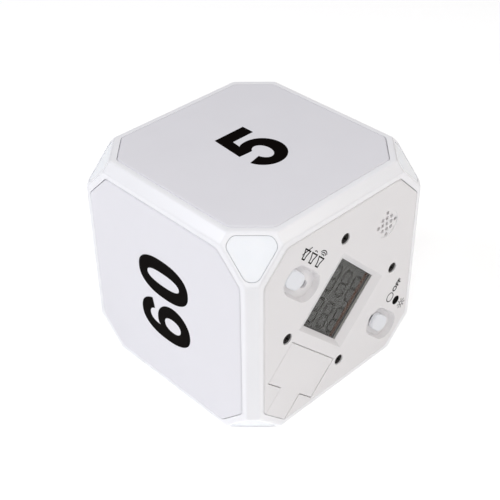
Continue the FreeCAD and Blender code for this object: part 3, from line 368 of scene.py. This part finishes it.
HORN = [(-0.56, 0), (0.56, 0), (0.56, 1.05), (1.18, 2.5), (-1.18, 2.5), (-0.56, 1.05)]
HORN_UP = 4.8
ARC_MIDDLE = (0, 2.62)
volume_marks = []
for i, (x, arcs) in enumerate(((-26.3, 0), (-22.9, 1), (-19.5, 3))):
    volume_marks += stroke(moved(HORN, x, HORN_UP), HORN_LINE, closed=True)
    for j in range(arcs):
        reach = 0.7 + 0.54 * j
        volume_marks += stroke(moved(bend(ARC_MIDDLE, (reach, reach), 145, 35), x, HORN_UP), THIN_LINE)
printed("volume_marks", volume_marks, CONTROL, black_ink)
printed("mute_stroke", stroke([(-27.5, 5.6), (-25.3, 8.4)], RING_LINE), CONTROL, black_ink,
        lift=INK_THICK)

RING_AT, DOT_AT, SUN_AT = (21.6, 7.0), (25.3, 7.1), (28.9, 7.1)
DISC_ROUND, SUN_ROUND = 1.35, 0.62
RAYS = 8
RAY_REACH = (0.95, 1.65)
disc = bend((0, 0), (DISC_ROUND, DISC_ROUND), 0, 350)
light_marks = stroke(moved(disc, *RING_AT), RING_LINE, closed=True)
light_marks.append(moved(disc, *DOT_AT))
light_marks += stroke(moved(bend((0, 0), (SUN_ROUND, SUN_ROUND), 0, 340), *SUN_AT), THIN_LINE, closed=True)
for i in range(RAYS):
    angle = math.radians(360 / RAYS * i)
    ray = [(r * math.cos(angle), r * math.sin(angle)) for r in RAY_REACH]
    light_marks += stroke(moved(ray, *SUN_AT), THIN_LINE)
printed("light_marks", light_marks, CONTROL, black_ink)

label = bpy.data.curves.new("off_label", "FONT")
label.body = "OFF"
LABEL_HIGH = 2.3
label.size = LABEL_HIGH
label.align_x = "CENTER"
label.align_y = "CENTER"
label.extrude = INK_THICK / 2
BOLDER = 0.07
label.offset = BOLDER
LABEL_PLACE = Matrix.Translation((21.5, 10.8, 0)) @ Matrix.Rotation(math.pi / 2, 4, "Z")
film_from(label, "off_label", CONTROL @ LABEL_PLACE, black_ink, "root", INK_THICK / 2)


# ---- Display ----
# A reflective liquid crystal cell behind a clear acrylic window. Switched off it is a dark olive grey, with
# the segments only just darker than the ground, and a brown edge where the polariser's glue shows.

def display_glass():
    material, tree = new_material("reflective liquid crystal glass, off")
    place = node(tree, "ShaderNodeTexCoord").outputs["Object"]
    cloud = node(tree, "ShaderNodeTexNoise", {"Vector": place}, Scale=1 / (7 * MM), Detail=3.0)
    mix = node(tree, "ShaderNodeMix", {"Factor": cloud.outputs["Fac"]}, data_type="RGBA")
    mix.inputs[6].default_value = colour("#1E1D15")
    mix.inputs[7].default_value = colour("#27271F")
    glass = node(tree, "ShaderNodeBsdfPrincipled", {"Base Color": mix.outputs[2]}, Roughness=0.45, IOR=1.5)
    glass.inputs["Specular IOR Level"].default_value = 0.3
    node(tree, "ShaderNodeOutputMaterial", {"Surface": glass.outputs[0]})
    return material


def clear_acrylic():
    material, tree = new_material("clear acrylic window")
    pane = node(tree, "ShaderNodeBsdfPrincipled", Base_Color=colour("#FFFFFF"), Roughness=0.05, IOR=1.49,
                Alpha=0.04)
    node(tree, "ShaderNodeOutputMaterial", {"Surface": pane.outputs[0]})
    return material


dress(display_glass(), "display_cell")
dress(clear_acrylic(), "display_window")
segment_film = ink("dark liquid crystal segment", "#1C1B14")
brown_glue = ink("brown polariser glue", "#4A2E1C")

SEGMENT_LONG = 3.2
SEGMENT_WIDE = 0.8


def segment(x, y, upright):
    """One bar of a seven-bar figure, with pointed ends."""
    reach, half = SEGMENT_LONG / 2, SEGMENT_WIDE / 2
    bar = [(-reach, 0), (half - reach, half), (reach - half, half), (reach, 0), (reach - half, -half),
           (half - reach, -half)]
    return [(x + (q if upright else p), y + (p if upright else q)) for p, q in bar]


segments = []
SEGMENT_GAP = 0.25
FIGURE_PITCH = 5.7
FIGURE_ROWS = (-5.1, 4.1)
step = SEGMENT_LONG + SEGMENT_GAP
for middle in (-FIGURE_PITCH, 0.0, FIGURE_PITCH):
    for row in FIGURE_ROWS:
        for level in (-1, 0, 1):
            segments.append(segment(middle, row + level * step, False))
        for side in (-1, 1):
            for level in (-0.5, 0.5):
                segments.append(segment(middle + side * step / 2, row + level * step, True))
GLASS_DEEP = (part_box("display_cell")[0][1] - cad_box[0][1]) / MM
FILM_LIFT, GLUE_LIFT = 0.005, 0.03
GLUE_LEFT, GLUE_RIGHT, GLUE_HALF_HIGH = 6.9, 8.4, 9.6
printed("display_segments", segments, CONTROL, segment_film,
        lift=FILM_LIFT - GLASS_DEEP)
glue = [(GLUE_LEFT, -GLUE_HALF_HIGH), (GLUE_RIGHT, -GLUE_HALF_HIGH), (GLUE_RIGHT, GLUE_HALF_HIGH),
        (GLUE_LEFT, GLUE_HALF_HIGH)]
printed("display_glue_edge", [glue], CONTROL, brown_glue, lift=GLUE_LIFT - GLASS_DEEP)


# ---- Slide knobs and their switches ----
# The knobs are white ABS like the housing, with a satin face. Each hooks over the black nylon lever of a
# small sheet-steel slide switch on the board.

knob_abs = plastic("white ABS knob, satin", "#E8EAEF", roughness=0.32, grain=0.12, glow_through=0.12)
dress(knob_abs, "volume_knob", "light_knob")
black_nylon = plastic("black nylon", "#1C1C1D", roughness=0.5, wander=0.1, glow_through=0.0)
dress(black_nylon, "volume_switch_lever", "light_switch_lever")


def metal(name, base, roughness, scratch=0.4):
    """Plated or rolled metal with fine marks across it."""
    material, tree = new_material(name)
    place = node(tree, "ShaderNodeTexCoord").outputs["Object"]
    stretch = node(tree, "ShaderNodeMapping", {"Vector": place}, Scale=(1, 8, 1))
    marks = node(tree, "ShaderNodeTexNoise", {"Vector": stretch.outputs[0]}, Scale=1 / (scratch * MM),
                 Detail=3.0)
    rough = node(tree, "ShaderNodeMapRange", {"Value": marks.outputs["Fac"]})
    rough.inputs["To Min"].default_value = roughness - 0.08
    rough.inputs["To Max"].default_value = roughness + 0.1
    bump = node(tree, "ShaderNodeBump", {"Height": marks.outputs["Fac"]}, Strength=0.2, Distance=0.004 * MM)
    body = node(tree, "ShaderNodeBsdfPrincipled", {"Roughness": rough.outputs[0], "Normal": bump.outputs[0]},
                Base_Color=colour(base), Metallic=1.0)
    node(tree, "ShaderNodeOutputMaterial", {"Surface": body.outputs[0]})
    return material


nickel = metal("nickel-plated steel", "#C9C6BE", 0.28)
dress(nickel, "volume_switch_case", "light_switch_case", "spring_contact", "cup_contact", "bridge_contact",
      "crystal", "tilt_ball")


# ---- Fixings ----
# Four long self-tapping screws hold the cover and four short ones the board. All are steel, chemically
# blackened, which leaves a dull dark surface.

dress(metal("blackened steel", "#2A2725", 0.5), "cover_screws", "board_screws")


# ---- Board and what is soldered on it ----
# The board is green glass laminate. Its solder mask is a thin gloss lacquer, and the copper tracks under it
# show as a lighter green, some 0.5 mm wide.

def board_laminate():
    material, tree = new_material("green glass laminate")
    place = node(tree, "ShaderNodeTexCoord").outputs["Object"]
    turned = node(tree, "ShaderNodeMapping", {"Vector": place}, Rotation=(0, math.pi / 4, 0))
    tracks = node(tree, "ShaderNodeTexBrick", {"Vector": turned.outputs[0]}, Scale=1 / (6 * MM))
    tracks.inputs["Mortar Size"].default_value = 0.04
    tracks.inputs["Color1"].default_value = colour("#14532C")
    tracks.inputs["Color2"].default_value = colour("#17592F")
    tracks.inputs["Mortar"].default_value = colour("#2F7A48")
    lacquer = node(tree, "ShaderNodeBsdfPrincipled", {"Base Color": tracks.outputs["Color"]}, Roughness=0.3)
    lacquer.inputs["Coat Weight"].default_value = 0.5
    node(tree, "ShaderNodeOutputMaterial", {"Surface": lacquer.outputs[0]})
    return material


dress(board_laminate(), "main_board")
dress(plastic("black potting epoxy", "#121212", roughness=0.25, wander=0.1, glow_through=0.0), "control_chip")
dress(plastic("clear resin over phosphor", "#E9E2B4", roughness=0.2), "led_upper_right", "led_upper_left",
      "led_lower_left", "led_lower_right")
dress(plastic("striped silicone rubber", "#2B2B2E", roughness=0.7, glow_through=0.0), "upper_contact_strip",
      "lower_contact_strip")
natural_abs = plastic("natural ABS", "#DDDCD6", roughness=0.5)
dress(natural_abs, "display_holder", "battery_holder", "tilt_sensor_case", "tilt_sensor_lid")


# ---- Sounder ----
# A disc of rolled brass 0.25 mm thick with a silvered ceramic disc bonded to its back.

dress(metal("rolled brass", "#C9A255", 0.3), "sounder_disc")
dress(plastic("silvered ceramic", "#CFC9BE", roughness=0.45, glow_through=0.0), "sounder_ceramic")


# ---- Batteries and leads ----
# Two AAA cells in a shrunk printed sleeve, copper coloured by the door and black over the rest, and leads in
# stranded copper with a PVC sleeve.

def cell_sleeve():
    material, tree = new_material("shrunk printed sleeve")
    place = node(tree, "ShaderNodeTexCoord").outputs["Object"]
    axes = node(tree, "ShaderNodeSeparateXYZ", {"Vector": place})
    ramp = node(tree, "ShaderNodeMapRange", {"Value": axes.outputs["Y"]})
    ramp.inputs["From Min"].default_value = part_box("left_cell")[0][1]
    ramp.inputs["From Max"].default_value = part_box("left_cell")[1][1]
    bands = node(tree, "ShaderNodeValToRGB", {"Fac": ramp.outputs[0]})
    bands.color_ramp.interpolation = "CONSTANT"
    bands.color_ramp.elements[0].color = colour("#B87A3C")
    bands.color_ramp.elements[1].position = 0.25
    bands.color_ramp.elements[1].color = colour("#1A1C20")
    sleeve = node(tree, "ShaderNodeBsdfPrincipled", {"Base Color": bands.outputs[0]}, Roughness=0.25)
    node(tree, "ShaderNodeOutputMaterial", {"Surface": sleeve.outputs[0]})
    return material


dress(cell_sleeve(), "left_cell", "right_cell")
dress(plastic("red PVC sleeve", "#A81E1E", roughness=0.45, wander=0.05), "battery_red_lead",
      "sounder_red_lead")
dress(plastic("black PVC sleeve", "#1A1A1A", roughness=0.45, wander=0.1), "battery_black_lead",
      "sounder_black_lead")

bpy.context.view_layer.update()
